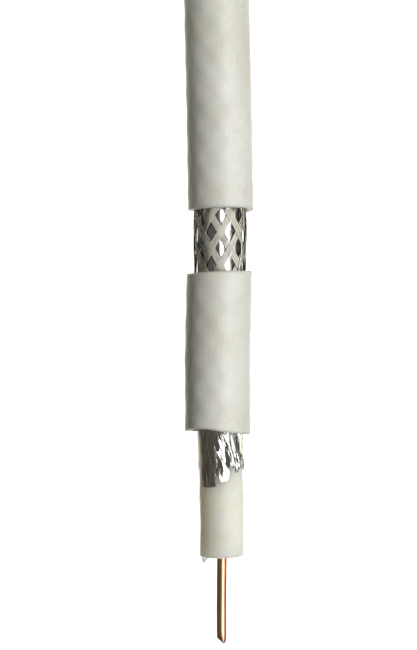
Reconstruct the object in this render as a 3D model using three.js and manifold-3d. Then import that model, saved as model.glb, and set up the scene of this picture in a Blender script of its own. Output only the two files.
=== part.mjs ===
// Coil of television coaxial cable, lying flat, with one end led off and stripped in steps.
// The free end leaves the lowest outer turn at a tangent and runs along -Y on the floor. Its layers
// show one after another towards the tip: jacket, braid, a loose sleeve of jacket, foil, dielectric
// and copper conductor. The origin is the middle of the floor area that the whole coil covers.
import * as THREE from "three";
import { mergeVertices } from "three/addons/utils/BufferGeometryUtils.js";
import Module from "manifold-3d";

const wasm = await Module();
wasm.setup();

// Driving dimensions in millimetres: the cable's layers, from its centre outwards
const CONDUCTOR_DIAMETER = 1.02;
const DIELECTRIC_WALL = 1.75;
const FILM_WALL = 0.04;
const FOIL_WALL = 0.06;
const BRAID_WALL = 0.28;
const JACKET_WALL = 0.66;
const LAYER_GAP = 0.03; // radial air between one layer and the next

// Driving dimensions of the free end, from the coil to the tip
const JACKET_FREE_LENGTH = 88;
const BRAID_WINDOW = 6.8; // braid that shows between the jacket and the sleeve
const SLEEVE_LENGTH = 17;
const BRAID_SET_BACK = 1; // how far inside the sleeve the braid stops
const FOIL_BARE_LENGTH = 3.85;
const DIELECTRIC_BARE_LENGTH = 9.3;
const CONDUCTOR_BARE_LENGTH = 9.3;
const CONDUCTOR_SLANT = 0.65; // how much longer one side of the snipped conductor is
const FOIL_TONGUE_LENGTH = 1.85; // strip of foil left standing past the foil's edge
const FOIL_TONGUE_SWEEP = 56; // degrees round the cable
const FOIL_TONGUE_TURN = 37; // degrees from the top of the cable towards -X
const FILM_TONGUE_LENGTH = 0.7; // film left standing past the end of the dielectric
const FILM_TONGUE_SWEEP = 50;
const FILM_TONGUE_TURN = 62;

// Driving dimensions of the coil
const CABLE_LENGTH = 10000; // wound turns and free end together
const TURN_COLUMNS = 5; // turns side by side, from the bore outwards
const TURN_ROWS = 5; // turns on top of each other
const TURN_SLACK = 0.1; // air between neighbouring turns

// Driving dimensions of the ties that hold the turns together
const TIE_COUNT = 3;
const TIE_FIRST_ANGLE = 60; // degrees from +X, with the rest evenly round the coil
const TIE_THICKNESS = 1.2;
const TIE_WIDTH = 4.8;
const TIE_CORNER_RADIUS = 5;
const TIE_HEAD_LENGTH = 8;
const TIE_HEAD_WIDTH = 7.6;
const TIE_HEAD_HEIGHT = 5;
const SEAT_GAP = 0.3; // air between a tie, or the free end, and the turns that it lies against

// Fineness of the round shapes
const CABLE_SIDES = 32;
const COIL_SIDES = 48;
const TURN_SIDES = 8;

// Radii of the layers, each resting on the one inside it
const conductorRadius = CONDUCTOR_DIAMETER / 2;
const dielectricBore = conductorRadius + LAYER_GAP;
const dielectricRadius = dielectricBore + DIELECTRIC_WALL;
const filmBore = dielectricRadius + LAYER_GAP;
const filmRadius = filmBore + FILM_WALL;
const foilBore = filmRadius + LAYER_GAP;
const foilRadius = foilBore + FOIL_WALL;
const braidBore = foilRadius + LAYER_GAP;
const braidRadius = braidBore + BRAID_WALL;
const jacketBore = braidRadius + LAYER_GAP;
const jacketRadius = jacketBore + JACKET_WALL;

// Where each layer ends, along Y from the point where the free end leaves the coil
const jacketEnd = -JACKET_FREE_LENGTH;
const sleeveStart = jacketEnd - BRAID_WINDOW;
const sleeveEnd = sleeveStart - SLEEVE_LENGTH;
const braidEnd = sleeveEnd + BRAID_SET_BACK;
const foilEnd = sleeveEnd - FOIL_BARE_LENGTH;
const dielectricEnd = foilEnd - DIELECTRIC_BARE_LENGTH;
const tipEnd = dielectricEnd - CONDUCTOR_BARE_LENGTH;

// Size of the coil: the length that isn't led off is shared by all its turns
const turnPitch = 2 * jacketRadius + TURN_SLACK;
const woundLength = CABLE_LENGTH + tipEnd;
const meanRadius = woundLength / (2 * Math.PI * TURN_COLUMNS * TURN_ROWS);
const columnRadius = (column) => meanRadius + (column - (TURN_COLUMNS - 1) / 2) * turnPitch;
const rowHeight = (row) => jacketRadius + row * turnPitch;
const lastTurnRadius = columnRadius(TURN_COLUMNS - 1);
const coilInnerRadius = columnRadius(0) - jacketRadius;
const coilOuterRadius = lastTurnRadius + jacketRadius;
const coilHeight = rowHeight(TURN_ROWS - 1) + jacketRadius;
const coilCentreY = (-tipEnd - coilOuterRadius) / 2;

// Joining and cutting closed shapes
function toSolid(geometry) {
  const bare = geometry.clone();
  bare.deleteAttribute("normal");
  bare.deleteAttribute("uv");
  const merged = mergeVertices(bare, 1e-4);
  return new wasm.Manifold(
    new wasm.Mesh({
      numProp: 3,
      vertProperties: merged.attributes.position.array,
      triVerts: merged.index.array,
    }),
  );
}

function toGeometry(solid) {
  const mesh = solid.getMesh();
  const geometry = new THREE.BufferGeometry();
  geometry.setAttribute("position", new THREE.BufferAttribute(mesh.vertProperties, 3));
  geometry.setIndex(new THREE.BufferAttribute(mesh.triVerts, 1));
  geometry.computeVertexNormals();
  return geometry;
}

// One layer of the cable round the Y axis, from yStart down to yEnd
function tube(bore, radius, yStart, yEnd) {
  const profile = [
    new THREE.Vector2(bore, yEnd),
    new THREE.Vector2(radius, yEnd),
    new THREE.Vector2(radius, yStart),
    new THREE.Vector2(bore, yStart),
  ];
  if (bore > 0) profile.push(profile[0].clone());
  return new THREE.LatheGeometry(profile, CABLE_SIDES);
}

// A layer whose edge has a tongue left standing: a longer tube, trimmed back beside the tongue
function tubeWithTongue(bore, radius, yStart, yEdge, tongueLength, sweepDegrees, turnDegrees) {
  const halfSweep = THREE.MathUtils.degToRad(sweepDegrees) / 2;
  const middle = THREE.MathUtils.degToRad(90 + turnDegrees);
  const trimReach = 2 * radius;
  const trimStart = middle + halfSweep;
  const trimStop = middle - halfSweep + 2 * Math.PI;
  const pie = new THREE.Shape();
  pie.moveTo(0, 0);
  pie.lineTo(trimReach * Math.cos(trimStart), trimReach * Math.sin(trimStart));
  pie.absarc(0, 0, trimReach, trimStart, trimStop, false);
  pie.closePath();
  const trim = new THREE.ExtrudeGeometry(pie, {
    depth: 2 * tongueLength,
    bevelEnabled: false,
    curveSegments: CABLE_SIDES,
  });
  trim.rotateX(Math.PI / 2).translate(0, yEdge, 0);
  const whole = toSolid(tube(bore, radius, yStart, yEdge - tongueLength));
  return toGeometry(whole.subtract(toSolid(trim)));
}

// The conductor, snipped off at a slant that is longest on the +X side
function snippedRod(radius, yStart, yTip, slant) {
  const slantAt = (x) => yTip + (slant * (radius - x)) / (2 * radius);
  const offcut = new THREE.Shape([
    new THREE.Vector2(-2 * radius, slantAt(-2 * radius)),
    new THREE.Vector2(-2 * radius, yTip - 2 * slant),
    new THREE.Vector2(2 * radius, yTip - 2 * slant),
    new THREE.Vector2(2 * radius, slantAt(2 * radius)),
  ]);
  const wedge = new THREE.ExtrudeGeometry(offcut, { depth: 4 * radius, bevelEnabled: false });
  wedge.translate(0, 0, -2 * radius);
  return toGeometry(toSolid(tube(0, radius, yStart, yTip)).subtract(toSolid(wedge)));
}

// Outline of the wound section, in radius and height: the round of every turn on its border.
// A turn is an eight-sided round whose flats touch the true circle.
function sectionOutline() {
  const halfStep = Math.PI / TURN_SIDES;
  const cornerRadius = jacketRadius / Math.cos(halfStep);
  const reach = Math.PI / 2 - halfStep; // from the side's normal to the last corner that shows
  const outline = [];
  const addTurn = ([column, row], fromNormal, toNormal) => {
    const corners = Math.round((toNormal - fromNormal + 2 * reach) / (2 * halfStep));
    for (let corner = 0; corner <= corners; corner += 1) {
      const angle = fromNormal - reach + 2 * halfStep * corner;
      const r = columnRadius(column) + cornerRadius * Math.cos(angle);
      const z = rowHeight(row) + cornerRadius * Math.sin(angle);
      outline.push(new THREE.Vector2(r, z));
    }
  };
  const lastColumn = TURN_COLUMNS - 1;
  const lastRow = TURN_ROWS - 1;
  const sides = [
    { normal: -Math.PI / 2, turns: lastColumn, at: (i) => [i, 0] },
    { normal: 0, turns: lastRow, at: (i) => [lastColumn, i] },
    { normal: Math.PI / 2, turns: lastColumn, at: (i) => [lastColumn - i, lastRow] },
    { normal: Math.PI, turns: lastRow, at: (i) => [0, lastRow - i] },
  ];
  for (const { normal, turns, at } of sides)
    for (let i = 0; i < turns; i += 1)
      addTurn(at(i), i === 0 ? normal - Math.PI / 2 : normal, normal);
  outline.push(outline[0].clone());
  return outline;
}

// Rectangle with round corners, drawn this far inside the box round the wound section
function sectionBox(inset, PathClass) {
  const low = coilInnerRadius + inset;
  const high = coilOuterRadius - inset;
  const floor = inset;
  const top = coilHeight - inset;
  const round = Math.max(TIE_CORNER_RADIUS - inset, 0);
  const path = new PathClass();
  path.moveTo(low + round, floor);
  path.lineTo(high - round, floor);
  path.absarc(high - round, floor + round, round, -Math.PI / 2, 0, false);
  path.lineTo(high, top - round);
  path.absarc(high - round, top - round, round, 0, Math.PI / 2, false);
  path.lineTo(low + round, top);
  path.absarc(low + round, top - round, round, Math.PI / 2, Math.PI, false);
  path.lineTo(low, floor + round);
  path.absarc(low + round, floor + round, round, Math.PI, 1.5 * Math.PI, false);
  return path;
}

// A band round the wound section at angle 0, as wide as asked for, between two insets
function band(outerInset, innerInset, width) {
  const shape = sectionBox(outerInset, THREE.Shape);
  shape.holes.push(sectionBox(innerInset, THREE.Path));
  const geometry = new THREE.ExtrudeGeometry(shape, {
    depth: width,
    bevelEnabled: false,
    curveSegments: 4,
  });
  return toSolid(geometry.rotateX(Math.PI / 2).translate(0, width / 2, 0));
}

// The tie's head lies on top of the coil, over the middle of the wound section
function tieHead(margin) {
  const head = new THREE.BoxGeometry(
    TIE_HEAD_LENGTH + 2 * margin,
    TIE_HEAD_WIDTH + 2 * margin,
    TIE_HEAD_HEIGHT + 2 * margin,
  );
  return toSolid(head.translate(meanRadius, 0, coilHeight - TIE_THICKNESS + TIE_HEAD_HEIGHT / 2));
}

// The tie is pulled into the turns until it lies flush with them
const tieSolid = band(0, TIE_THICKNESS, TIE_WIDTH).add(tieHead(0));
const tieSeat = band(-TIE_CORNER_RADIUS, TIE_THICKNESS + SEAT_GAP, TIE_WIDTH + 2 * SEAT_GAP)
  .add(tieHead(SEAT_GAP));
const tieAngle = (tie) => TIE_FIRST_ANGLE + (tie * 360) / TIE_COUNT;

// The wound turns, as one turned ring with seats for the ties and for the free end
function woundTurns() {
  const ring = new THREE.LatheGeometry(sectionOutline(), COIL_SIDES).rotateX(Math.PI / 2);
  let solid = toSolid(ring);
  for (let tie = 0; tie < TIE_COUNT; tie += 1)
    solid = solid.subtract(tieSeat.rotate([0, 0, tieAngle(tie)]));
  const seat = tube(0, jacketRadius + SEAT_GAP, SEAT_GAP, -coilOuterRadius);
  seat.translate(lastTurnRadius, 0, jacketRadius);
  return toGeometry(solid.subtract(toSolid(seat)));
}

// Materials
function material(color, roughness, metalness, opacity = 1) {
  return new THREE.MeshStandardMaterial({
    color,
    roughness,
    metalness,
    opacity,
    transparent: opacity < 1,
  });
}

const jacketMaterial = material(0xdcdcd4, 0.5, 0);
const braidMaterial = material(0xc4bcb0, 0.35, 1);
const foilMaterial = material(0xd4d4d2, 0.2, 1);
const filmMaterial = material(0xe4e8e6, 0.15, 0, 0.35);
const dielectricMaterial = material(0xe8e5d6, 0.6, 0);
const copperMaterial = material(0xb87345, 0.3, 1);
const tieMaterial = material(0xecece6, 0.45, 0);

function addMesh(parent, name, geometry, surface) {
  const mesh = new THREE.Mesh(geometry, surface);
  mesh.name = name;
  parent.add(mesh);
  return mesh;
}

// The coil stands round its own axis, and the free end is measured from where it leaves the coil
const coil = new THREE.Group();
coil.position.set(0, coilCentreY, 0);
addMesh(coil, "cable_coil", woundTurns(), jacketMaterial);
for (let tie = 0; tie < TIE_COUNT; tie += 1) {
  const mesh = addMesh(coil, `coil_tie_${tie + 1}`, toGeometry(tieSolid), tieMaterial);
  mesh.rotation.z = THREE.MathUtils.degToRad(tieAngle(tie));
}

const freeEnd = new THREE.Group();
freeEnd.position.set(lastTurnRadius, 0, jacketRadius);
coil.add(freeEnd);
addMesh(freeEnd, "jacket", tube(jacketBore, jacketRadius, 0, jacketEnd), jacketMaterial);
addMesh(
  freeEnd,
  "jacket_sleeve",
  tube(jacketBore, jacketRadius, sleeveStart, sleeveEnd),
  jacketMaterial,
);
addMesh(freeEnd, "shield_braid", tube(braidBore, braidRadius, 0, braidEnd), braidMaterial);
addMesh(
  freeEnd,
  "shield_foil",
  tubeWithTongue(
    foilBore,
    foilRadius,
    0,
    foilEnd,
    FOIL_TONGUE_LENGTH,
    FOIL_TONGUE_SWEEP,
    FOIL_TONGUE_TURN,
  ),
  foilMaterial,
);
addMesh(
  freeEnd,
  "dielectric_film",
  tubeWithTongue(
    filmBore,
    filmRadius,
    0,
    dielectricEnd,
    FILM_TONGUE_LENGTH,
    FILM_TONGUE_SWEEP,
    FILM_TONGUE_TURN,
  ),
  filmMaterial,
);
addMesh(
  freeEnd,
  "dielectric",
  tube(dielectricBore, dielectricRadius, 0, dielectricEnd),
  dielectricMaterial,
);
addMesh(
  freeEnd,
  "center_conductor",
  snippedRod(conductorRadius, 0, tipEnd, CONDUCTOR_SLANT),
  copperMaterial,
);

const cableCoil = new THREE.Group();
cableCoil.add(coil);
export default cableCoil;
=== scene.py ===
"""Looks of the coaxial cable coil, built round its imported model. Metres, +Z up."""

import math

import bmesh
import bpy
import numpy as np
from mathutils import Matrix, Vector, noise


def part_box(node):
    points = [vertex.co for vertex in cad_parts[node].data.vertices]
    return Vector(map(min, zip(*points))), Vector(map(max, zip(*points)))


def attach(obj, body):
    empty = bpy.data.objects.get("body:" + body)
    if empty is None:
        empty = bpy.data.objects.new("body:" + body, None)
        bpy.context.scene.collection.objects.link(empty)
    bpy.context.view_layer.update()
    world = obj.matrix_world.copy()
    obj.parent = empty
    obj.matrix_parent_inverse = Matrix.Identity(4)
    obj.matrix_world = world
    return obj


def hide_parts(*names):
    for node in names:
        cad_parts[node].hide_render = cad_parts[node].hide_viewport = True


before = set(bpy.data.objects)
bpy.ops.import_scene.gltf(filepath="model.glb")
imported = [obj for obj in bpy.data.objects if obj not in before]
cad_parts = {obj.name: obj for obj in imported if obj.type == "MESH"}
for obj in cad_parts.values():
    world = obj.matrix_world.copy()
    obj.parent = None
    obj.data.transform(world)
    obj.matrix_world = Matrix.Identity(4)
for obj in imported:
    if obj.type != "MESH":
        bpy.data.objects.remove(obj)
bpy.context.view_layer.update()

MM = 0.001
BODY = "root"
TAU = 2 * math.pi
random = np.random.default_rng(41)


# Places and sizes taken from the frame
def radius_of(node):
    low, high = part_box(node)
    return (high - low).x / 2


jacket_low, jacket_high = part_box("jacket")
AXIS_X = (jacket_low.x + jacket_high.x) / 2
AXIS_Z = (jacket_low.z + jacket_high.z) / 2
START_Y = jacket_high.y
JACKET_CUT_Y = jacket_low.y
SLEEVE_TOP_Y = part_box("jacket_sleeve")[1].y
SLEEVE_FOOT_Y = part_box("jacket_sleeve")[0].y
BRAID_FOOT_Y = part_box("shield_braid")[0].y
DIELECTRIC_FOOT_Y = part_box("dielectric")[0].y
TIP_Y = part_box("center_conductor")[0].y
JACKET_R = radius_of("jacket")
BRAID_R = radius_of("shield_braid")
FOIL_R = radius_of("shield_foil")
FILM_R = radius_of("dielectric_film")
DIELECTRIC_R = radius_of("dielectric")
CONDUCTOR_R = radius_of("center_conductor")
LAYER_GAP = 0.03 * MM  # air between one layer and the next
JACKET_BORE_R = BRAID_R + LAYER_GAP

TURN_COLUMNS = 5  # turns side by side
TURN_ROWS = 5  # turns on top of each other
TIE_ANGLES = (60, 180, 300)  # degrees from +X round the coil
ring_low, ring_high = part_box("cable_coil")
COIL_CENTRE_Y = START_Y
TURN_PITCH = (ring_high.z - ring_low.z - 2 * JACKET_R) / (TURN_ROWS - 1)
LAST_TURN_R = AXIS_X
MEAN_TURN_R = LAST_TURN_R - TURN_PITCH * (TURN_COLUMNS - 1) / 2
SECTION_MID_Z = (ring_low.z + ring_high.z) / 2

# How the free end sways to +X: millimetres from the tip, and millimetres off the frame's axis
JACKET_SWAY = ((134.3, 0), (105, -0.26), (68.3, -0.34), (57.7, -0.1), (46.2, 0.1))
SLEEVE_SWAY = ((39.5, -0.05), (36.4, -0.12), (33, -0.2), (29.6, -0.26), (26.2, -0.23), (22.4, -0.24))
CORE_SWAY = (
    (134.3, 0), (68, -0.2), (46.2, 0.02), (39, 0), (33, -0.12), (25, -0.12),
    (21, 0.05), (17, 0.15), (12, 0.21), (9.3, 0.2), (4, 0.15), (0, 0.16),
)


def through(points, places):
    """Smooth curve through (place, value) points, taken at each place."""
    xs, values = np.array(sorted(points), float).T
    slopes = np.gradient(values, xs)
    at = np.clip(places, xs[0], xs[-1])
    i = np.clip(np.searchsorted(xs, at) - 1, 0, len(xs) - 2)
    step = xs[i + 1] - xs[i]
    t = (at - xs[i]) / step
    bend_a = slopes[i] * step
    bend_b = slopes[i + 1] * step
    a, b = values[i], values[i + 1]
    return (
        a * (1 + 2 * t) * (1 - t) ** 2 + b * t * t * (3 - 2 * t)
        + bend_a * t * (1 - t) ** 2 - bend_b * t * t * (1 - t)
    )


def axis_x(sway, y):
    return AXIS_X + MM * through(sway, (np.asarray(y, float) - TIP_Y) / MM)


def y_from_tip(millimetres):
    return TIP_Y + millimetres * MM


# Meshes made of grids of points
class Surface:
    """Collects grids of points, in which each ring may close on itself, into one mesh."""

    def __init__(self):
        self.points, self.faces, self.uvs, self.slots = [], [], [], []
        self.count = 0

    def grid(self, rings, around=True, along=False, caps=(), places=None, slot=0):
        """rings is (rings, sides, 3). around closes each ring, and along joins the last to the first."""
        rings = np.asarray(rings, float)
        n_rings, n_sides = rings.shape[:2]
        places = np.arange(n_rings, dtype=float) if places is None else np.asarray(places, float)
        i = np.arange(n_rings if along else n_rings - 1)
        j = np.arange(n_sides if around else n_sides - 1)
        i, j = (g.ravel() for g in np.meshgrid(i, j, indexing="ij"))
        i2, j2 = (i + 1) % n_rings, (j + 1) % n_sides
        first = self.count
        quads = np.stack((i * n_sides + j, i * n_sides + j2, i2 * n_sides + j2, i2 * n_sides + j), 1)
        self.faces += (quads + first).tolist()
        share = 1 / n_sides
        us = np.stack((j * share, (j + 1) * share, (j + 1) * share, j * share), 1)
        vs = np.stack((places[i], places[i], places[i2], places[i2]), 1)
        self.uvs.append(np.stack((us, vs), 2).reshape(-1, 2))
        self.slots += [slot] * len(quads)
        for ring in caps:
            row = (ring % n_rings) * n_sides + first
            order = range(n_sides) if ring < 0 else range(n_sides - 1, -1, -1)
            self.faces.append([row + k for k in order])
            self.uvs.append(np.full((n_sides, 2), places[ring]))
            self.slots.append(slot)
        self.points.append(rings.reshape(-1, 3))
        self.count += n_rings * n_sides
        return self

    def piece(self, name, *materials, smooth=True, outward=True):
        mesh = bpy.data.meshes.new(name)
        mesh.from_pydata(np.concatenate(self.points).tolist(), [], self.faces)
        layer = mesh.uv_layers.new(name="along")
        layer.data.foreach_set("uv", np.concatenate(self.uvs).astype(np.float32).ravel())
        for material in materials:
            mesh.materials.append(material)
        mesh.polygons.foreach_set("material_index", self.slots)
        mesh.polygons.foreach_set("use_smooth", [smooth] * len(mesh.polygons))
        if outward:
            work = bmesh.new()
            work.from_mesh(mesh)
            bmesh.ops.recalc_face_normals(work, faces=work.faces)
            work.to_mesh(mesh)
            work.free()
        mesh.update()
        piece = bpy.data.objects.new(name, mesh)
        bpy.context.scene.collection.objects.link(piece)
        return piece


def angles(sides):
    """Angles round the cable, from the top towards +X."""
    return np.arange(sides) / sides * TAU


def rings_round(centre_x, ys, radii, turn):
    """Rings round the free end: centre_x and radii may change with the ring and the angle."""
    ys, radii, centre_x, turn = np.broadcast_arrays(ys, radii, centre_x, turn)
    return np.stack((centre_x + radii * np.sin(turn), ys, AXIS_Z + radii * np.cos(turn)), -1)


def wobble(turn, seed, waves=(1, 2, 3, 5, 8)):
    """Smooth noise round the cable, about 1 at most."""
    own = np.random.default_rng(seed)
    total = sum(own.normal() / n * np.cos(n * turn + own.uniform(0, TAU)) for n in waves)
    return total / 1.6


# Materials
class Look:
    """A node material, put together from a principled shader."""

    def __init__(self, name, **settings):
        self.material = bpy.data.materials.new(name)
        self.material.use_nodes = True
        self.tree = self.material.node_tree
        self.shader = self.tree.nodes["Principled BSDF"]
        for socket, value in settings.items():
            self.shader.inputs[socket.replace("_", " ")].default_value = value
        self.place = self.node("ShaderNodeTexCoord").outputs["Object"]
        self.along = self.node("ShaderNodeUVMap", uv_map="along").outputs["UV"]

    def node(self, kind, inputs=None, **settings):
        made = self.tree.nodes.new(kind)
        for key, value in settings.items():
            setattr(made, key, value)
        for socket, value in (inputs or {}).items():
            if isinstance(value, bpy.types.NodeSocket):
                self.tree.links.new(value, made.inputs[socket])
            else:
                made.inputs[socket].default_value = value
        return made

    def math(self, operation, a, b=0.0):
        return self.node("ShaderNodeMath", {0: a, 1: b}, operation=operation).outputs[0]

    def noise(self, scale, detail=3.0, rough=0.5, stretch=None):
        place = self.place
        if stretch:
            place = self.node("ShaderNodeMapping", {"Vector": place, "Scale": stretch}).outputs[0]
        inputs = {"Vector": place, "Scale": scale, "Detail": detail, "Roughness": rough}
        return self.node("ShaderNodeTexNoise", inputs).outputs["Fac"]

    def facets(self, cells, tilt, height, slant=0.0):
        """Crisp flat facets, each leaning its own way.

        cells counts them in each metre along each axis, and slant turns them about Z in radians.
        """
        turn = {"Vector": self.place, "Rotation": (0, 0, -slant)}
        turned = self.node("ShaderNodeMapping", turn).outputs[0]
        place = self.node("ShaderNodeMapping", {"Vector": turned, "Scale": cells}).outputs[0]
        cell = self.node("ShaderNodeTexVoronoi", {"Vector": place, "Scale": 1.0})
        away = self.node(
            "ShaderNodeVectorMath", {0: place, 1: cell.outputs["Position"]}, operation="SUBTRACT"
        ).outputs[0]
        lean = self.node(
            "ShaderNodeVectorMath", {0: cell.outputs["Color"], 1: (0.5, 0.5, 0.5)}, operation="SUBTRACT"
        ).outputs[0]
        rise = self.node("ShaderNodeVectorMath", {0: away, 1: lean}, operation="DOT_PRODUCT")
        self.bump(self.math("MULTIPLY", rise.outputs["Value"], tilt), height)

    def ramp(self, value, *stops):
        made = self.node("ShaderNodeValToRGB", {"Fac": value})
        elements = made.color_ramp.elements
        while len(elements) < len(stops):
            elements.new(0.5)
        for element, (position, colour) in zip(elements, stops):
            element.position = position
            grey = isinstance(colour, (int, float))
            element.color = (colour, colour, colour, 1) if grey else (*colour, 1)
        return made.outputs["Color"]

    def mix(self, share, a, b, blend="MIX"):
        made = self.node("ShaderNodeMix", data_type="RGBA", blend_type=blend)
        for socket, value in ((0, share), (6, a), (7, b)):
            if isinstance(value, bpy.types.NodeSocket):
                self.tree.links.new(value, made.inputs[socket])
            else:
                made.inputs[socket].default_value = value if socket == 0 else (*value, 1)
        return made.outputs[2]

    def span(self, value, low, high):
        """A value between 0 and 1, moved to between low and high."""
        inputs = {"Value": value, "To Min": low, "To Max": high}
        return self.node("ShaderNodeMapRange", inputs).outputs["Result"]

    def fade(self, value, start, end, least=0.0):
        """least where value is at start or before it, and 1 at end or past it."""
        inputs = {"Value": value, "From Min": start, "From Max": end, "To Min": least}
        return self.node("ShaderNodeMapRange", inputs).outputs["Result"]

    def split(self, vector):
        return self.node("ShaderNodeSeparateXYZ", {"Vector": vector}).outputs

    def bump(self, height, distance):
        inputs = {"Height": height, "Distance": distance, "Strength": 1.0}
        previous = self.shader.inputs["Normal"]
        if previous.is_linked:
            inputs["Normal"] = previous.links[0].from_socket
        self.set("Normal", self.node("ShaderNodeBump", inputs).outputs["Normal"])

    def set(self, socket, value):
        self.tree.links.new(value, self.shader.inputs[socket])


BRAID_PITCH = 3.5 * MM  # from one band to the next along the cable
BANDS = 8  # bands of wires each way round
SPECK_BROWN = (0.3, 0.22, 0.12)
SPECKS = (
    # Cells in each metre, share of cells without a speck, radius as a share of a cell, strength
    (700.0, 0.965, 0.13, 0.4), (1500.0, 0.9, 0.24, 0.16),
)


def jacket_look():
    """Off-white PVC: mottled, with a few brown specks, and the braid pressing through a little."""
    look = Look("jacket_pvc", Specular_IOR_Level=0.5, Subsurface_Weight=0.06, Subsurface_Scale=0.4 * MM)
    shade, middle, light = (0.68, 0.68, 0.615), (0.71, 0.71, 0.645), (0.73, 0.73, 0.67)
    tone = look.ramp(look.noise(700, 4, 0.6), (0.3, shade), (0.55, middle), (0.8, light))
    yellowed = look.ramp(look.noise(130, 2), (0.42, 0), (0.7, 0.4))
    tone = look.mix(yellowed, tone, (0.76, 0.73, 0.64), "MULTIPLY")
    grain = look.ramp(look.noise(5200, 2, 0.5), (0.3, 0.9), (0.7, 1.0))
    tone = look.mix(1.0, tone, grain, "MULTIPLY")
    for scale, share, size, strength in SPECKS:
        cells = look.node("ShaderNodeTexVoronoi", {"Vector": look.place, "Scale": scale})
        near = look.math("LESS_THAN", cells.outputs["Distance"], size)
        split = look.node("ShaderNodeSeparateColor", {"Color": cells.outputs["Color"]})
        chosen = look.math("GREATER_THAN", split.outputs["Red"], share)
        speck = look.math("MULTIPLY", look.math("MULTIPLY", near, chosen), strength)
        tone = look.mix(speck, tone, SPECK_BROWN)
    look.set("Base Color", tone)
    look.set("Roughness", look.span(look.noise(900, 4), 0.31, 0.46))
    # The crossings of the braid, felt through the jacket
    uv = look.split(look.along)
    round_wave = look.math("COSINE", look.math("MULTIPLY", uv["X"], TAU * BANDS))
    along_wave = look.math("COSINE", look.math("MULTIPLY", uv["Y"], TAU / BRAID_PITCH))
    look.bump(look.math("MULTIPLY", round_wave, along_wave), 0.011 * MM)
    look.bump(look.noise(2600, 5, 0.65), 0.012 * MM)
    look.bump(look.noise(350, 3), 0.02 * MM)
    return look.material


def braid_look():
    """Tinned wire: warm grey metal, a little tarnished, with painted shade darkening the grooves between
    wires.
    """
    look = Look("braid_wire", Metallic=1.0)
    shade, middle, light = (0.93, 0.89, 0.77), (0.98, 0.95, 0.83), (0.99, 0.97, 0.89)
    tone = look.ramp(look.noise(700, 3, 0.5), (0.3, shade), (0.6, middle), (0.8, light))
    # Painted shade: each wire's colour goes dark from its outward face towards its flanks
    round_wire = look.math("MULTIPLY", look.split(look.along)["X"], TAU)
    facing_out = look.span(look.math("COSINE", round_wire), 0.5, 1.0)
    unshaded_crest = look.ramp(facing_out, (0.76, 0.0), (0.93, 1.0))
    look.set("Base Color", look.mix(unshaded_crest, (0.05, 0.045, 0.04), tone))
    look.set("Roughness", look.span(look.noise(3000, 3), 0.22, 0.36))
    look.bump(look.noise(6000, 2), 0.004 * MM)
    return look.material


def foil_look():
    """Aluminium tape: matt and drawn into fine lines on the left, darker there partly by painted shade;
    crumpled and bright on the right.
    """
    look = Look("foil_aluminium", Metallic=1.0)
    place = look.split(look.place)
    right = look.fade(place["X"], AXIS_X - 0.3 * FOIL_R, AXIS_X)
    # Painted shade: the far left of the foil gets a darker colour
    far_left_painted_shade = look.fade(place["X"], AXIS_X - 0.8 * FOIL_R, AXIS_X - 0.96 * FOIL_R)
    bare = look.fade(place["Y"], SLEEVE_FOOT_Y + 1 * MM, SLEEVE_FOOT_Y)
    above_flap = look.fade(place["Y"], y_from_tip(18.3), y_from_tip(19.3), 0.15)
    creased = look.math("MULTIPLY", look.math("MULTIPLY", bare, right), above_flap)
    smudge = look.noise(500, 4, 0.6)
    bright = look.ramp(smudge, (0.3, (0.88, 0.87, 0.84)), (0.7, (0.95, 0.95, 0.94)))
    lines = look.noise(1000, 3, 0.6, stretch=(9, 0.2, 9))
    dull_and_shaded = look.ramp(lines, (0.38, (0.42, 0.39, 0.34)), (0.6, (0.9, 0.86, 0.77)))
    dull_and_shaded = look.mix(far_left_painted_shade, dull_and_shaded, (0.3, 0.28, 0.24))
    # The left of the bare foil takes the lined colour, darker partly for its own lines and partly as painted
    # shade
    strip_and_shade = look.math("MULTIPLY", bare, look.math("SUBTRACT", 1.0, right))
    look.set("Base Color", look.mix(strip_and_shade, bright, dull_and_shaded))
    rough = look.span(look.noise(1500, 3), 0.07, 0.16)
    look.set("Roughness", look.math("ADD", rough, look.span(strip_and_shade, 0.0, 0.2)))
    look.facets((1900, 300, 1900), look.span(creased, 0.12, 1.0), 0.6 * MM, 0.3)
    look.facets((4600, 600, 4600), look.span(creased, 0.02, 0.12), 0.12 * MM, 0.3)
    look.bump(look.math("MULTIPLY", lines, look.span(creased, 1.0, 0.3)), 0.02 * MM)
    return look.material


def film_look():
    """Thin clear film: milky where it stands off the foam at its side, there partly a painted sheen, and
    below its end.
    """
    look = Look("clear_film", Base_Color=(0.93, 0.94, 0.91, 1), IOR=1.5)
    look.set("Roughness", look.span(look.noise(800, 3), 0.08, 0.3))
    place = look.split(look.place)
    # Painted sheen in part: more opacity at the film's left side, where it stands off the foam
    side = look.fade(place["X"], AXIS_X - 0.86 * FILM_R, AXIS_X - 0.97 * FILM_R)
    below = look.fade(place["Y"], DIELECTRIC_FOOT_Y, DIELECTRIC_FOOT_Y - 0.1 * MM)
    haze_and_sheen = look.math("MAXIMUM", look.math("MULTIPLY", side, 0.5), below)
    streak = look.span(look.noise(600, 4, 0.6), 0.5, 0.9)
    hazy_and_sheen = look.math("MULTIPLY", look.math("MULTIPLY", haze_and_sheen, streak), 0.6)
    look.set("Alpha", look.math("ADD", hazy_and_sheen, 0.04))
    look.bump(look.noise(1200, 3), 0.02 * MM)
    return look.material


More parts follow.
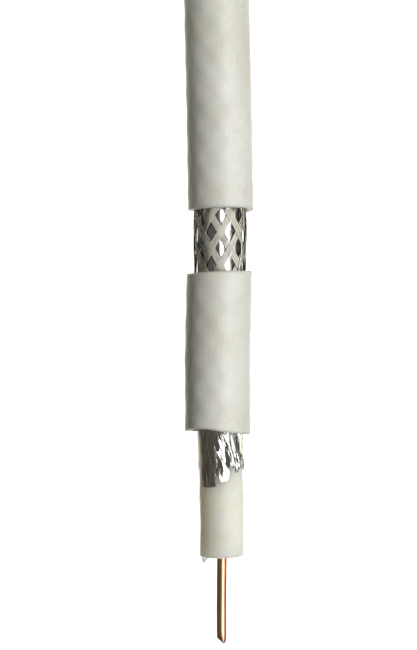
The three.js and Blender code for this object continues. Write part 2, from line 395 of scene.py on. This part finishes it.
def dielectric_look():
    """Foamed polyethylene: waxy and creamy, with light passing under its skin."""
    look = Look(
        "foam_polyethylene", Subsurface_Weight=1.0, Subsurface_Scale=8 * MM,
        Subsurface_Radius=(1.0, 0.94, 0.7), Specular_IOR_Level=0.3,
    )
    shade, middle, light = (0.80, 0.77, 0.58), (0.84, 0.82, 0.65), (0.86, 0.845, 0.71)
    tone = look.ramp(look.noise(500, 5, 0.65), (0.3, shade), (0.55, middle), (0.8, light))
    grain = look.ramp(look.noise(4300, 3, 0.6), (0.35, 0.95), (0.65, 1.0))
    look.set("Base Color", look.mix(1.0, tone, grain, "MULTIPLY"))
    look.set("Roughness", look.span(look.noise(1500, 3), 0.5, 0.7))
    look.bump(look.noise(4000, 4, 0.6), 0.01 * MM)
    look.bump(look.noise(450, 2), 0.03 * MM)
    return look.material


def copper_look():
    """Drawn copper, with fine lines along it and darker patches where it was handled."""
    look = Look("drawn_copper", Metallic=1.0)
    patches = look.noise(700, 4, 0.6, stretch=(1, 0.4, 1))
    shade, middle, light = (0.88, 0.43, 0.25), (0.95, 0.52, 0.33), (0.97, 0.59, 0.41)
    look.set("Base Color", look.ramp(patches, (0.3, shade), (0.6, middle), (0.85, light)))
    look.set("Roughness", look.span(look.noise(1800, 3, stretch=(3, 0.3, 3)), 0.26, 0.36))
    look.bump(look.noise(4000, 3, 0.6, stretch=(4, 0.08, 4)), 0.006 * MM)
    return look.material


def tie_look():
    """Natural nylon: milky, a little clear at its edges."""
    look = Look(
        "natural_nylon", Subsurface_Weight=0.25, Subsurface_Scale=0.8 * MM, Specular_IOR_Level=0.5,
    )
    shade, light = (0.78, 0.77, 0.71), (0.85, 0.84, 0.79)
    look.set("Base Color", look.ramp(look.noise(300, 3), (0.3, shade), (0.7, light)))
    look.set("Roughness", look.span(look.noise(1200, 3), 0.32, 0.5))
    look.bump(look.noise(1500, 3), 0.015 * MM)
    return look.material


def floor_look():
    """Pale paper with an even glow, so that it reads as white."""
    look = Look("pale_floor", Emission_Color=(1, 1, 1, 1), Emission_Strength=1.0, Specular_IOR_Level=0.1)
    look.set("Base Color", look.ramp(look.noise(60, 3), (0.3, 0.86), (0.7, 0.9)))
    look.set("Roughness", look.span(look.noise(200, 3), 0.7, 0.9))
    return look.material


JACKET = jacket_look()
BRAID = braid_look()
FOIL = foil_look()
FILM = film_look()
DIELECTRIC = dielectric_look()
COPPER = copper_look()
NYLON = tie_look()
FLOOR = floor_look()


# Camera and light
PICTURE_HEIGHT = 69.0 * MM  # what the photograph's height covers, at the cable's axis
CAMERA_DISTANCE = 200 * MM
TIP_UNDER_CENTRE = 33.8 * MM  # from the picture's centre down to the conductor's tip
AXIS_RIGHT_OF_CENTRE = 1.22 * MM
SENSOR = 36  # millimetres
# Height of the direction, from 0 straight down to 1 straight up, and the room's brightness there
ROOM_TONES = ((0.0, 1.6), (0.12, 1.1), (0.2, 0.1), (0.4, 0.03), (0.6, 0.1), (0.85, 0.08))
ROOM_TINT = (1.05, 1.0, 0.88)
PANELS = (
    # Name, elevation in degrees, distance and size in metres, watts. All stand on the right
    ("key_panel", 56, 0.7, (1.8, 0.36), 5.2),
    ("soft_panel", 50, 0.75, (1.9, 0.86), 5.6),
    ("side_panel", 10, 0.7, (1.4, 0.24), 0.3),
)
FLOOR_HALF = 1.5  # metres from the middle to each side


def add_camera():
    data = bpy.data.cameras.new("camera")
    data.sensor_width = SENSOR
    data.lens = SENSOR * CAMERA_DISTANCE / PICTURE_HEIGHT
    data.clip_start = 0.01
    camera = bpy.data.objects.new("camera", data)
    camera.location = (AXIS_X - AXIS_RIGHT_OF_CENTRE, TIP_Y + TIP_UNDER_CENTRE, AXIS_Z + CAMERA_DISTANCE)
    bpy.context.scene.collection.objects.link(camera)
    bpy.context.scene.camera = camera


def add_panel(name, elevation, distance, size, energy):
    """A soft panel to the right of the free end's middle, which it faces."""
    data = bpy.data.lights.new(name, "AREA")
    data.shape = "RECTANGLE"
    data.size, data.size_y = size
    data.energy = energy
    panel = bpy.data.objects.new(name, data)
    elevation = math.radians(elevation)
    away = Vector((math.cos(elevation), 0, math.sin(elevation)))
    panel.location = Vector((AXIS_X, (START_Y + TIP_Y) / 2, AXIS_Z)) + away * distance
    panel.rotation_euler = away.to_track_quat("Z", "Y").to_euler()
    panel.visible_camera = False
    bpy.context.scene.collection.objects.link(panel)


def add_world():
    """A dim room over a bright table, which lights the underside."""
    world = bpy.data.worlds.new("room")
    world.use_nodes = True
    tree = world.node_tree
    direction = tree.nodes.new("ShaderNodeTexCoord").outputs["Generated"]
    split = tree.nodes.new("ShaderNodeSeparateXYZ")
    tree.links.new(direction, split.inputs[0])
    share = tree.nodes.new("ShaderNodeMapRange")
    share.inputs["From Min"].default_value = -1
    tree.links.new(split.outputs["Z"], share.inputs["Value"])
    ramp = tree.nodes.new("ShaderNodeValToRGB")
    tree.links.new(share.outputs["Result"], ramp.inputs["Fac"])
    elements = ramp.color_ramp.elements
    while len(elements) < len(ROOM_TONES):
        elements.new(0.5)
    for element, (position, level) in zip(elements, ROOM_TONES):
        element.position = position
        element.color = (*(level * tint for tint in ROOM_TINT), 1)
    tree.links.new(ramp.outputs["Color"], tree.nodes["Background"].inputs["Color"])
    bpy.context.scene.world = world


def add_floor():
    sides = (-FLOOR_HALF, FLOOR_HALF)
    corners = [[(x, y, 0) for x in sides] for y in sides]
    floor = Surface().grid(corners, around=False).piece("floor", FLOOR, outward=False)
    floor.visible_diffuse = False
    floor.visible_glossy = False
    floor.visible_shadow = False


# The jacket of the free end and the loose sleeve
JACKET_RELIEF = 0.022 * MM
JACKET_SWELL = 0.02 * MM  # how much thicker the jacket is than its solid
RIM = 0.07 * MM  # rounding at a cut end
MARGIN = 1.5 * MM  # inside a cut end, the relief fades over this length and inner layers keep fine steps


def pressed_through(turn, y):
    """How far the braid's crossings lift the jacket."""
    return JACKET_RELIEF * np.cos(BANDS * turn) * np.cos(TAU * y / BRAID_PITCH)


def cut_jacket(name, sway, y_top, y_foot, ragged, step):
    """A hollow length of jacket. ragged gives how far each end, top and foot, strays round the cable."""
    turn = angles(96)
    span = y_top - y_foot
    share = np.linspace(0, 1, max(8, round(span / step)))[:, None]
    top = y_top + ragged[0](turn)
    foot = y_foot + ragged[1](turn)
    y_outer = top + (foot - top) * share
    fade = np.minimum(np.minimum(share, 1 - share) * span / MARGIN, 1)
    swell = pressed_through(turn, y_outer) * fade
    outer_r = JACKET_R + JACKET_SWELL + swell + 0.012 * MM * wobble(turn, 5)
    rings = [rings_round(axis_x(sway, y_outer), y_outer, outer_r, turn)]
    for at, side in ((foot, -1), (top, 1)):
        edge = [
            (JACKET_R - RIM * 0.3, RIM * 0.15), (JACKET_R - RIM, -RIM * 0.15),
            (JACKET_BORE_R + RIM, -RIM * 0.3), (JACKET_BORE_R, RIM * 0.4),
        ]
        if side > 0:
            edge.reverse()
            inner = foot + (top - foot) * np.linspace(0.02, 0.98, 12)[:, None]
            rings.append(rings_round(axis_x(sway, inner), inner, JACKET_BORE_R, turn))
        for r, inward in edge:
            roughness = 0.015 * MM * wobble(turn, int(r / MM * 100), (7, 11, 17, 23))
            y = (at - side * inward + roughness)[None]
            rings.append(rings_round(axis_x(sway, y), y, r, turn))
    points = np.concatenate(rings)
    surface = Surface().grid(points, along=True, places=points[:, 0, 1])
    return surface.piece(name, JACKET)


# How far the knife strayed along the cable: degrees round it, and millimetres to +Y
LEVEL = ((-180, 0), (0, 0), (180, 0))
JACKET_FOOT_CUT = (
    (-180, -0.2), (-90, -0.25), (-45, -0.22), (0, -0.15), (45, -0.15), (90, -0.2), (130, -0.4), (180, -0.2),
)
SLEEVE_TOP_CUT = ((-180, -0.1), (-90, -0.28), (-45, -0.2), (0, -0.05), (45, 0.05), (90, 0.09), (180, -0.1))
SLEEVE_FOOT_CUT = (
    (-180, 0), (-90, 0.15), (-60, 0.36), (-35, 0.47), (-15, 0.4), (0, 0.26), (20, 0.1), (45, -0.05),
    (90, -0.28), (140, -0.2), (180, 0),
)


def stray(points, seed):
    def at(turn):
        degrees = np.degrees(np.angle(np.exp(1j * turn)))
        return MM * (through(points, degrees) + 0.025 * wobble(turn, seed))
    return at


def add_jackets():
    level = stray(LEVEL, 10)
    cut_foot, sleeve_top = stray(JACKET_FOOT_CUT, 11), stray(SLEEVE_TOP_CUT, 12)
    sleeve_foot = stray(SLEEVE_FOOT_CUT, 13)
    jacket = cut_jacket(
        "jacket_free_end", JACKET_SWAY, START_Y, JACKET_CUT_Y, (level, cut_foot), 0.35 * MM,
    )
    sleeve = cut_jacket(
        "loose_sleeve", SLEEVE_SWAY, SLEEVE_TOP_Y, SLEEVE_FOOT_Y, (sleeve_top, sleeve_foot), 0.3 * MM,
    )
    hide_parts("jacket")
    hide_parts("jacket_sleeve")
    return jacket, sleeve


# The braid
LAY = BANDS * BRAID_PITCH  # length in which a band goes once round
WIRES_IN_BAND = 4
WIRE_R = 0.068 * MM
WIRE_PITCH = 0.182 * MM  # across the band
GAP_TURN = math.radians(1)  # a gap between bands lies here
GAP_Y = y_from_tip(45.3)
STRAY_WIRES = (
    # Degrees from the top of the cable, degrees swept to the foot, millimetres that it stands out
    (78, 34, 0.05), (96, 26, 0.07), (66, -22, 0.06), (-78, -30, 0.05), (-100, 24, 0.04), (160, 40, 0.1),
)


def braid_places():
    """Places along the cable: close together where the braid shows, and wide apart where it doesn't."""
    return np.concatenate((
        np.linspace(START_Y, JACKET_CUT_Y + 3 * MM, 24)[:-1],
        np.arange(JACKET_CUT_Y + 3 * MM, SLEEVE_TOP_Y - MARGIN, -0.3 * MM),
        np.linspace(SLEEVE_TOP_Y - MARGIN, BRAID_FOOT_Y + MARGIN, 20),
        np.linspace(BRAID_FOOT_Y + MARGIN, BRAID_FOOT_Y, 5)[1:],
    ))


def wire(surface, places, turn, radius):
    """One wire along the cable. turn and radius give its place at each step."""
    centre = np.stack((
        axis_x(CORE_SWAY, places) + radius * np.sin(turn), places, AXIS_Z + radius * np.cos(turn)
    ), 1)
    along = np.gradient(centre, axis=0)
    along /= np.linalg.norm(along, axis=1)[:, None]
    out = np.stack((np.sin(turn), 0 * turn, np.cos(turn)), 1)
    across = np.cross(along, out)
    across /= np.linalg.norm(across, axis=1)[:, None]
    out = np.cross(across, along)
    a = angles(6)[None, :, None]
    rings = centre[:, None] + WIRE_R * (np.cos(a) * out[:, None] + np.sin(a) * across[:, None])
    surface.grid(rings, caps=(0, -1), places=places)


def over_and_under(turn):
    """1 where the bands that turn to the right lie on top, and -1 where they lie under."""
    crispness = 2.4
    wave = np.cos(BANDS / 2 * (turn - GAP_TURN + TAU / (4 * BANDS)))
    return np.tanh(crispness * wave) / np.tanh(crispness)


def add_braid():
    places = braid_places()
    surface = Surface()
    inner_r = FOIL_R + LAYER_GAP + WIRE_R
    outer_r = BRAID_R - WIRE_R
    middle_r = (inner_r + outer_r) / 2
    half_step = (outer_r - inner_r) / 2
    for way in (1, -1):
        for band in range(BANDS):
            middle = GAP_TURN + TAU / BANDS * (band + 0.5) + way * TAU * (places - GAP_Y) / LAY
            drift = 0.05 * MM * noise.noise(Vector((band * 3.1, way * 7.7, 0)))
            for number in range(WIRES_IN_BAND):
                place_in_band = number - (WIRES_IN_BAND - 1) / 2
                lean = math.hypot(1, TAU * middle_r / LAY)
                offset = (place_in_band * WIRE_PITCH + drift) * lean / middle_r
                own = random.uniform(0, TAU, 3)
                waver = 0.012 * MM * (
                    np.sin(places / (1.3 * MM) + own[0]) + np.sin(places / (0.6 * MM) + own[1])
                ) / middle_r
                turn = middle + offset + waver
                lift = 0.01 * MM * np.sin(places / (0.9 * MM) + own[2])
                radius = middle_r + way * half_step * over_and_under(turn) + lift
                wire(surface, places, turn, radius)
    window = np.linspace(JACKET_CUT_Y + 1 * MM, SLEEVE_TOP_Y - 1 * MM, 36)
    share = np.linspace(0, 1, len(window))
    for start, sweep, stand in STRAY_WIRES:
        turn = np.radians(start + sweep * share) + 0.03 * np.sin(share * 17 + start)
        bow = np.sin(share * math.pi) ** 0.7 * (1 + 0.35 * np.sin(share * 13 + start))
        wire(surface, window, turn, outer_r + 0.02 * MM + stand * MM * bow)
    braid = surface.piece("braid_wires", BRAID, outward=False)
    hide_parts("shield_braid")
    return braid


# The foil
CREASES = 34
CREASE_HEIGHT = 0.16  # millimetres
# What is left standing: degrees round the cable, and millimetres from the tip
STRIP_DEGREES, STRIP_FOOT = (-65, -14), 16.75
FLAP_DEGREES, FLAP_FOOT = (-8, 21), 17.3
TORN_EDGE = 18.7  # millimetres from the tip


def ridges(turn, along):
    """Crumpled sheet: long slanted ridges with sharp crests, 0 to 1. along is in millimetres."""
    own = np.random.default_rng(3)
    total = 0 * (turn + along)
    for _ in range(CREASES):
        middle, place = own.uniform(-0.7, 2.6), own.uniform(-5, 0.5)
        half_width, half_length = own.uniform(0.1, 0.22), own.uniform(1.2, 3)
        slant, height = own.uniform(0.06, 0.2) * np.sign(middle - 1), own.uniform(0.5, 1)
        away = np.angle(np.exp(1j * (turn - middle - slant * (along - place)))) / half_width
        unshaded_crest = height * (1 - np.abs(away) - np.abs(along - place) / half_length)
        total = np.maximum(total, unshaded_crest)
    # The long crease that catches the light, on the left
    share = (-0.8 - along) / 2.4
    away = turn - np.radians(-36 + 27 * share)
    away = np.where(away > 0, away / 0.07, -away / 0.3)
    return np.maximum(total, 0.9 * (1 - away) * (share > 0) * (share < 1))


def within(degrees, span):
    return (degrees > span[0]) & (degrees < span[1])


def foil_edge(turn):
    """Where the torn foil ends round the cable, in metres along Y."""
    own = np.random.default_rng(23)
    degrees = np.degrees(np.angle(np.exp(1j * turn)))
    torn = TORN_EDGE + 0.25 * np.sin(degrees / 9) + 0.2 * np.sin(degrees / 4.3 + 1)
    torn = torn + own.uniform(-0.14, 0.14, len(turn))
    torn = np.where(within(degrees, STRIP_DEGREES), STRIP_FOOT + 0.03 * np.sin(degrees / 5), torn)
    tip = FLAP_FOOT + 0.012 * (degrees - 8) * (degrees > 8) - 0.11 * (degrees + 1) * (degrees < -1)
    tip = tip + 0.16 * np.clip(degrees - 17, 0, 4)
    torn = np.where(within(degrees, FLAP_DEGREES), np.minimum(torn, tip), torn)
    return y_from_tip(torn)


def add_foil():
    turn = angles(240)
    edge = foil_edge(turn)
    shown = SLEEVE_FOOT_Y + 2.5 * MM
    upper = np.concatenate((
        np.linspace(START_Y, JACKET_CUT_Y + MARGIN, 12)[:-1],
        np.linspace(JACKET_CUT_Y + MARGIN, SLEEVE_TOP_Y - MARGIN, 48),
        np.linspace(SLEEVE_TOP_Y - MARGIN, shown, 12)[1:],
    ))[:, None]
    share = np.linspace(0, 1, 70)[1:, None]
    y = np.concatenate((upper + 0 * turn, shown + (edge - shown) * share))
    bare = np.clip((SLEEVE_FOOT_Y + 0.6 * MM - y) / (1.2 * MM), 0, 1)
    along = (y - SLEEVE_FOOT_Y) / MM
    right = 0.5 + 0.5 * np.tanh(3 * (np.sin(turn) + 0.15))
    front = np.degrees(np.angle(np.exp(1j * turn)))
    lift = bare * (CREASE_HEIGHT * ridges(turn, along) - 0.05) * (0.12 + 0.88 * right)
    across_gaps = np.cos(BANDS * (turn - GAP_TURN) + TAU / 8) * np.cos(TAU * (y - GAP_Y) / BRAID_PITCH)
    dents = 0.06 * across_gaps * (1 - bare)
    past = np.clip((y_from_tip(19.5) - y) / (2 * MM), 0, 1)
    flap = np.clip((24 - front) / 32, 0, 1) * (front > -9) * past ** 1.3
    radius = FOIL_R - 0.04 * MM + MM * (lift + dents + 0.32 * flap + 0.05 * past * (np.abs(front) > 80))
    outer = rings_round(axis_x(CORE_SWAY, y), y, radius, turn)
    inner = rings_round(axis_x(CORE_SWAY, y), y, radius - 0.02 * MM, turn)[::-1]
    points = np.concatenate((outer, inner))
    foil = Surface().grid(points, along=True, places=points[:, 0, 1]).piece("creased_foil", FOIL)
    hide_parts("shield_foil")
    return foil


# The film, the dielectric and the conductor
def add_film():
    """The clear film that has come loose on the left, with the flap that hangs past the end."""
    flap_middle = -58
    turn = np.radians(np.linspace(-168, -34, 60))
    degrees = np.degrees(turn)
    past_middle = degrees - flap_middle
    flap = np.where(past_middle < 0, 1 + past_middle / 4, 1 - past_middle / 24)
    flap = np.clip(flap, 0, 1)
    foot = DIELECTRIC_FOOT_Y + 0.05 * MM - 0.75 * MM * flap
    share = np.linspace(0, 1, 90)[:, None]
    top = y_from_tip(26)
    y = top + (foot - top) * share
    along = (y - TIP_Y) / MM
    loose = np.exp(-(((degrees + 92) / 34) ** 2))
    wave = 0.5 + 0.5 * np.sin(along * 2.1 + 0.8 * np.sin(along * 0.9))
    out = FILM_R - 0.02 * MM + MM * loose * (0.03 + 0.07 * wave) * np.clip((22 - along) / 3, 0, 1)
    outer = rings_round(axis_x(CORE_SWAY, y), y, out, turn)
    inner = rings_round(axis_x(CORE_SWAY, y), y, out - 0.015 * MM, turn)
    loop = np.concatenate((outer, inner[:, ::-1]), axis=1)
    film = Surface().grid(loop, caps=(0, -1), places=y[:, 0]).piece("loose_film", FILM)
    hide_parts("dielectric_film")
    return film


def add_dielectric():
    turn = angles(96)
    bore = CONDUCTOR_R + 0.035 * MM
    hidden = np.linspace(START_Y, SLEEVE_FOOT_Y + 1 * MM, 14)[:-1, None]
    foot = DIELECTRIC_FOOT_Y + MM * (0.05 * np.sin(turn - 0.5) + 0.03 * wobble(turn, 31))
    share = np.linspace(0, 1, 60)[:, None]
    top = SLEEVE_FOOT_Y + 1 * MM
    round_r = 0.16 * MM
    y = np.concatenate((hidden + 0 * turn, top + (foot + round_r - top) * share))
    along = (y - TIP_Y) / MM
    uneven = 0.018 * np.sin(along * 1.1 + 2 * turn) + 0.012 * np.sin(along * 2.7 - turn)
    radius = DIELECTRIC_R + MM * uneven * np.clip((24 - along) / 3, 0, 1)
    rings = [rings_round(axis_x(CORE_SWAY, y), y, radius, turn)]
    last = radius[-1]
    for lean in np.radians((25, 50, 75, 90)):
        at = (foot + round_r * (1 - math.sin(lean)))[None]
        rings.append(rings_round(axis_x(CORE_SWAY, at), at, last - round_r * (1 - math.cos(lean)), turn))
    for r, rise in ((0.75, 0.02), (0.5, -0.015), (0.32, 0.0)):
        at = (foot + MM * (rise + 0.012 * wobble(turn, int(100 * r), (5, 9, 13))))[None]
        rings.append(rings_round(axis_x(CORE_SWAY, at), at, r * last, turn))
    for at in (DIELECTRIC_FOOT_Y + 0.04 * MM, (START_Y + DIELECTRIC_FOOT_Y) / 2, START_Y):
        rings.append(rings_round(axis_x(CORE_SWAY, [[at]]), at, bore + 0 * turn[None], turn))
    points = np.concatenate(rings)
    surface = Surface().grid(points, along=True, places=points[:, 0, 1])
    dielectric = surface.piece("foam_dielectric", DIELECTRIC)
    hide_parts("dielectric")
    return dielectric


def snipped(x):
    """How far the cut stands back from the tip in millimetres, at x radii to the right.

    Snipped from both sides: a long slant on the left, and a short one on the right of the tip.
    """
    return np.where(x < 0.5, 0.67 * (0.5 - x) / 1.5, 0.27 * (x - 0.5) / 0.5)


def add_conductor():
    turn = angles(40)
    x = np.sin(turn)
    foot = TIP_Y + MM * (snipped(x) + 0.02 * wobble(turn, 37))
    share = np.concatenate((np.linspace(0, 0.8, 16), np.linspace(0.8, 1, 30)[1:]))[:, None]
    y = START_Y + (foot + 0.05 * MM - START_Y) * share
    rings = [rings_round(axis_x(CORE_SWAY, y), y, CONDUCTOR_R + 0.025 * MM, turn)]
    for r, rise in ((0.93, 0.0), (0.6, 0.03), (0.2, 0.05)):
        at = (TIP_Y + MM * (snipped(x * r) + rise))[None]
        rings.append(rings_round(axis_x(CORE_SWAY, at), at, r * CONDUCTOR_R, turn))
    points = np.concatenate(rings)
    surface = Surface().grid(points, caps=(0, -1), places=points[:, 0, 1])
    conductor = surface.piece("copper_conductor", COPPER)
    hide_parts("center_conductor")
    return conductor


# The wound turns
STEP_START, STEP_END = math.radians(20), math.radians(52)  # where each turn steps to the next place
STEPS_IN_TURN = 108
TIE_SQUEEZE = 0.107  # share of the bundle's width and height that a tie takes away


def smooth(t):
    t = np.clip(t, 0, 1)
    return t * t * (3 - 2 * t)


def turn_place(turn):
    """Column and row of a turn: each column is wound down and the next one up."""
    column, count = divmod(turn, TURN_ROWS)
    return column, TURN_ROWS - 1 - count if column % 2 == 0 else count


def pinch(around):
    """How much a tie squeezes the turns at this angle round the coil, 0 to 1."""
    total = 0 * around
    for tie in TIE_ANGLES:
        away = np.abs(np.angle(np.exp(1j * (around - math.radians(tie))))) * MEAN_TURN_R
        total = total + 1 - smooth((away - 2.5 * MM) / (12 * MM))
    return total


def wound_line():
    """Radius, height and angle of the cable's centre along all the turns."""
    turns = TURN_COLUMNS * TURN_ROWS
    t = np.arange(turns * STEPS_IN_TURN + 1) / STEPS_IN_TURN
    number = np.minimum(t.astype(int), turns - 1)
    gone = (t - number) * TAU
    places = np.array([turn_place(n) for n in range(turns)], float)
    before = places[np.maximum(number - 1, 0)]
    step = smooth((gone - STEP_START) / (STEP_END - STEP_START))[:, None]
    column, row = (before + (places[number] - before) * step).T
    around = -t * TAU
    own = np.random.default_rng(7)
    settle = sum(
        own.normal(0, 0.02 * MM, (turns + 1, 2))[number] * np.sin(n * gone / 2)[:, None] for n in (1, 2, 3)
    )
    squeeze = 1 - TIE_SQUEEZE * pinch(around)
    across = ((column - (TURN_COLUMNS - 1) / 2) * TURN_PITCH + settle[:, 0]) * squeeze
    up = ((row - (TURN_ROWS - 1) / 2) * TURN_PITCH + settle[:, 1]) * squeeze
    return MEAN_TURN_R + across, SECTION_MID_Z + up, around


def add_wound_turns():
    radius, height, around = wound_line()
    out = np.stack((np.cos(around), np.sin(around), 0 * around), 1)
    centre = out * radius[:, None] + np.array((0, COIL_CENTRE_Y, 0))
    centre[:, 2] = height
    a = -angles(16)[None, :, None] + math.pi / 2
    up = np.array((0, 0, 1.0))
    rings = centre[:, None] + JACKET_R * (np.cos(a) * out[:, None] + np.sin(a) * up)
    length = np.concatenate(([0], np.cumsum(np.linalg.norm(np.diff(centre, axis=0), axis=1))))
    surface = Surface().grid(rings, caps=(-1,), places=length)
    # The other end of the cable, cut square: each layer shows as a ring
    start_out, start = out[0], centre[0]
    fine = angles(48)[:, None]

    def disc(r, sink):
        return start + r * (np.cos(fine) * start_out + np.sin(fine) * up) + np.array((0, sink, 0))

    layers = (
        # Outer and inner radius, how far it stands back, material slot
        (JACKET_R, JACKET_BORE_R, 0, 0),
        (JACKET_BORE_R, FOIL_R, 0.12 * MM, 1),
        (FOIL_R, DIELECTRIC_R, 0.05 * MM, 2),
        (DIELECTRIC_R, CONDUCTOR_R, 0, 3),
        (CONDUCTOR_R, CONDUCTOR_R * 0.05, 0.12 * MM, 4),
    )
    for high, low, sink, slot in layers:
        surface.grid([disc(high, sink), disc(low, sink)], slot=slot)
    turns = surface.piece("wound_turns", JACKET, BRAID, FOIL, DIELECTRIC, COPPER, outward=False)
    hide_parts("cable_coil")
    return turns


# The ties
TIE_WIDTH = 4.8 * MM
TIE_THICKNESS = 1.2 * MM
TIE_CORNER_R = 5 * MM
TIE_EDGE = 0.25 * MM  # rounding along the band
TIE_HEAD_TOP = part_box("coil_tie_2")[1].z
HEAD_LENGTH, HEAD_WIDTH, HEAD_BEVEL = 8 * MM, 7.6 * MM, 0.7 * MM
TAIL_LENGTH, TAIL_WIDTH, TAIL_BEVEL = 2.2 * MM, 4.4 * MM, 0.2 * MM


def band_run(inner_side, outer_side, top):
    """The band's way round the section, as points of its corner arcs with the way that each faces."""
    run = []
    corners = ((outer_side, 0, -90), (outer_side, top, 0), (inner_side, top, 90), (inner_side, 0, 180))
    for x, z, start in corners:
        middle_x = x - TIE_CORNER_R if x == outer_side else x + TIE_CORNER_R
        middle_z = z + TIE_CORNER_R if z == 0 else z - TIE_CORNER_R
        for lean in np.radians(start + np.linspace(0, 90, 9)):
            run.append((middle_x, middle_z, math.cos(lean), math.sin(lean)))
    return run


def band_outline():
    """The band's cross-section: how far each point lies inwards, and how far across."""
    half, edge, thick = TIE_WIDTH / 2, TIE_EDGE, TIE_THICKNESS
    return (
        (0, -half + edge), (0.04 * MM, 0), (0, half - edge),
        (edge * 0.5, half - edge * 0.2), (edge, half), (thick - edge, half),
        (thick - edge * 0.4, half - edge * 0.2), (thick, half - edge), (thick, -half + edge),
        (thick - edge * 0.4, -half + edge * 0.2), (thick - edge, -half),
        (edge, -half), (edge * 0.5, -half + edge * 0.2),
    )


def add_block(surface, middle, size, bevel):
    """A block with bevelled edges at its foot, top and corners."""
    levels = []
    for side, inset in ((-1, bevel), (-1, 0), (1, 0), (1, bevel)):
        half_x, half_y = size[0] / 2 - inset, size[1] / 2 - inset
        z = middle.z + side * (size[2] / 2 - (0 if inset else bevel))
        ring = []
        for side_x, side_y in ((1, 1), (-1, 1), (-1, -1), (1, -1)):
            first, second = (bevel, 0), (0, bevel)
            for in_x, in_y in ((first, second) if side_x * side_y < 0 else (second, first)):
                x = middle.x + side_x * (half_x - in_x)
                ring.append((x, middle.y + side_y * (half_y - in_y), z))
        levels.append(ring)
    surface.grid(levels, caps=(0, -1))


def add_tie(number, degrees):
    """A nylon tie: a flat band with round edges, its head on top, and the trimmed tail."""
    inner_side, outer_side = MEAN_TURN_R - SECTION_MID_Z, MEAN_TURN_R + SECTION_MID_Z
    top = 2 * SECTION_MID_Z
    outline = band_outline()
    rings = [
        [(x + (TIE_CORNER_R - inset) * out_x, across, z + (TIE_CORNER_R - inset) * out_z)
         for inset, across in outline]
        for x, z, out_x, out_z in band_run(inner_side, outer_side, top)
    ]
    surface = Surface().grid(rings, along=True)
    head_foot = top - TIE_THICKNESS
    head_height = TIE_HEAD_TOP - head_foot
    head_mid = Vector((MEAN_TURN_R, 0, head_foot + head_height / 2))
    add_block(surface, head_mid, (HEAD_LENGTH, HEAD_WIDTH, head_height), HEAD_BEVEL)
    tail_mid = Vector((head_mid.x - HEAD_LENGTH / 2 - 0.6 * MM, 0, head_mid.z + 0.3 * MM))
    add_block(surface, tail_mid, (TAIL_LENGTH, TAIL_WIDTH, TIE_THICKNESS), TAIL_BEVEL)
    tie = surface.piece(f"nylon_tie_{number}", NYLON, smooth=False)
    tie.rotation_euler.z = math.radians(degrees)
    tie.location.y = COIL_CENTRE_Y
    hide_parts(f"coil_tie_{number}")
    return tie


add_camera()
add_world()
for panel in PANELS:
    add_panel(*panel)
add_floor()
bpy.context.scene.view_settings.view_transform = "Standard"

jacket, sleeve = add_jackets()
braid = add_braid()
foil = add_foil()
film = add_film()
dielectric = add_dielectric()
conductor = add_conductor()
turns = add_wound_turns()
ties = [add_tie(number + 1, degrees) for number, degrees in enumerate(TIE_ANGLES)]

for piece, slot in (
    (jacket, "jacket"), (sleeve, "jacket"), (braid, "braid"), (foil, "foil"), (film, "film"),
    (dielectric, "dielectric"), (conductor, "conductor"), (turns, "jacket"), *((tie, "tie") for tie in ties),
):
    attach(piece, BODY)
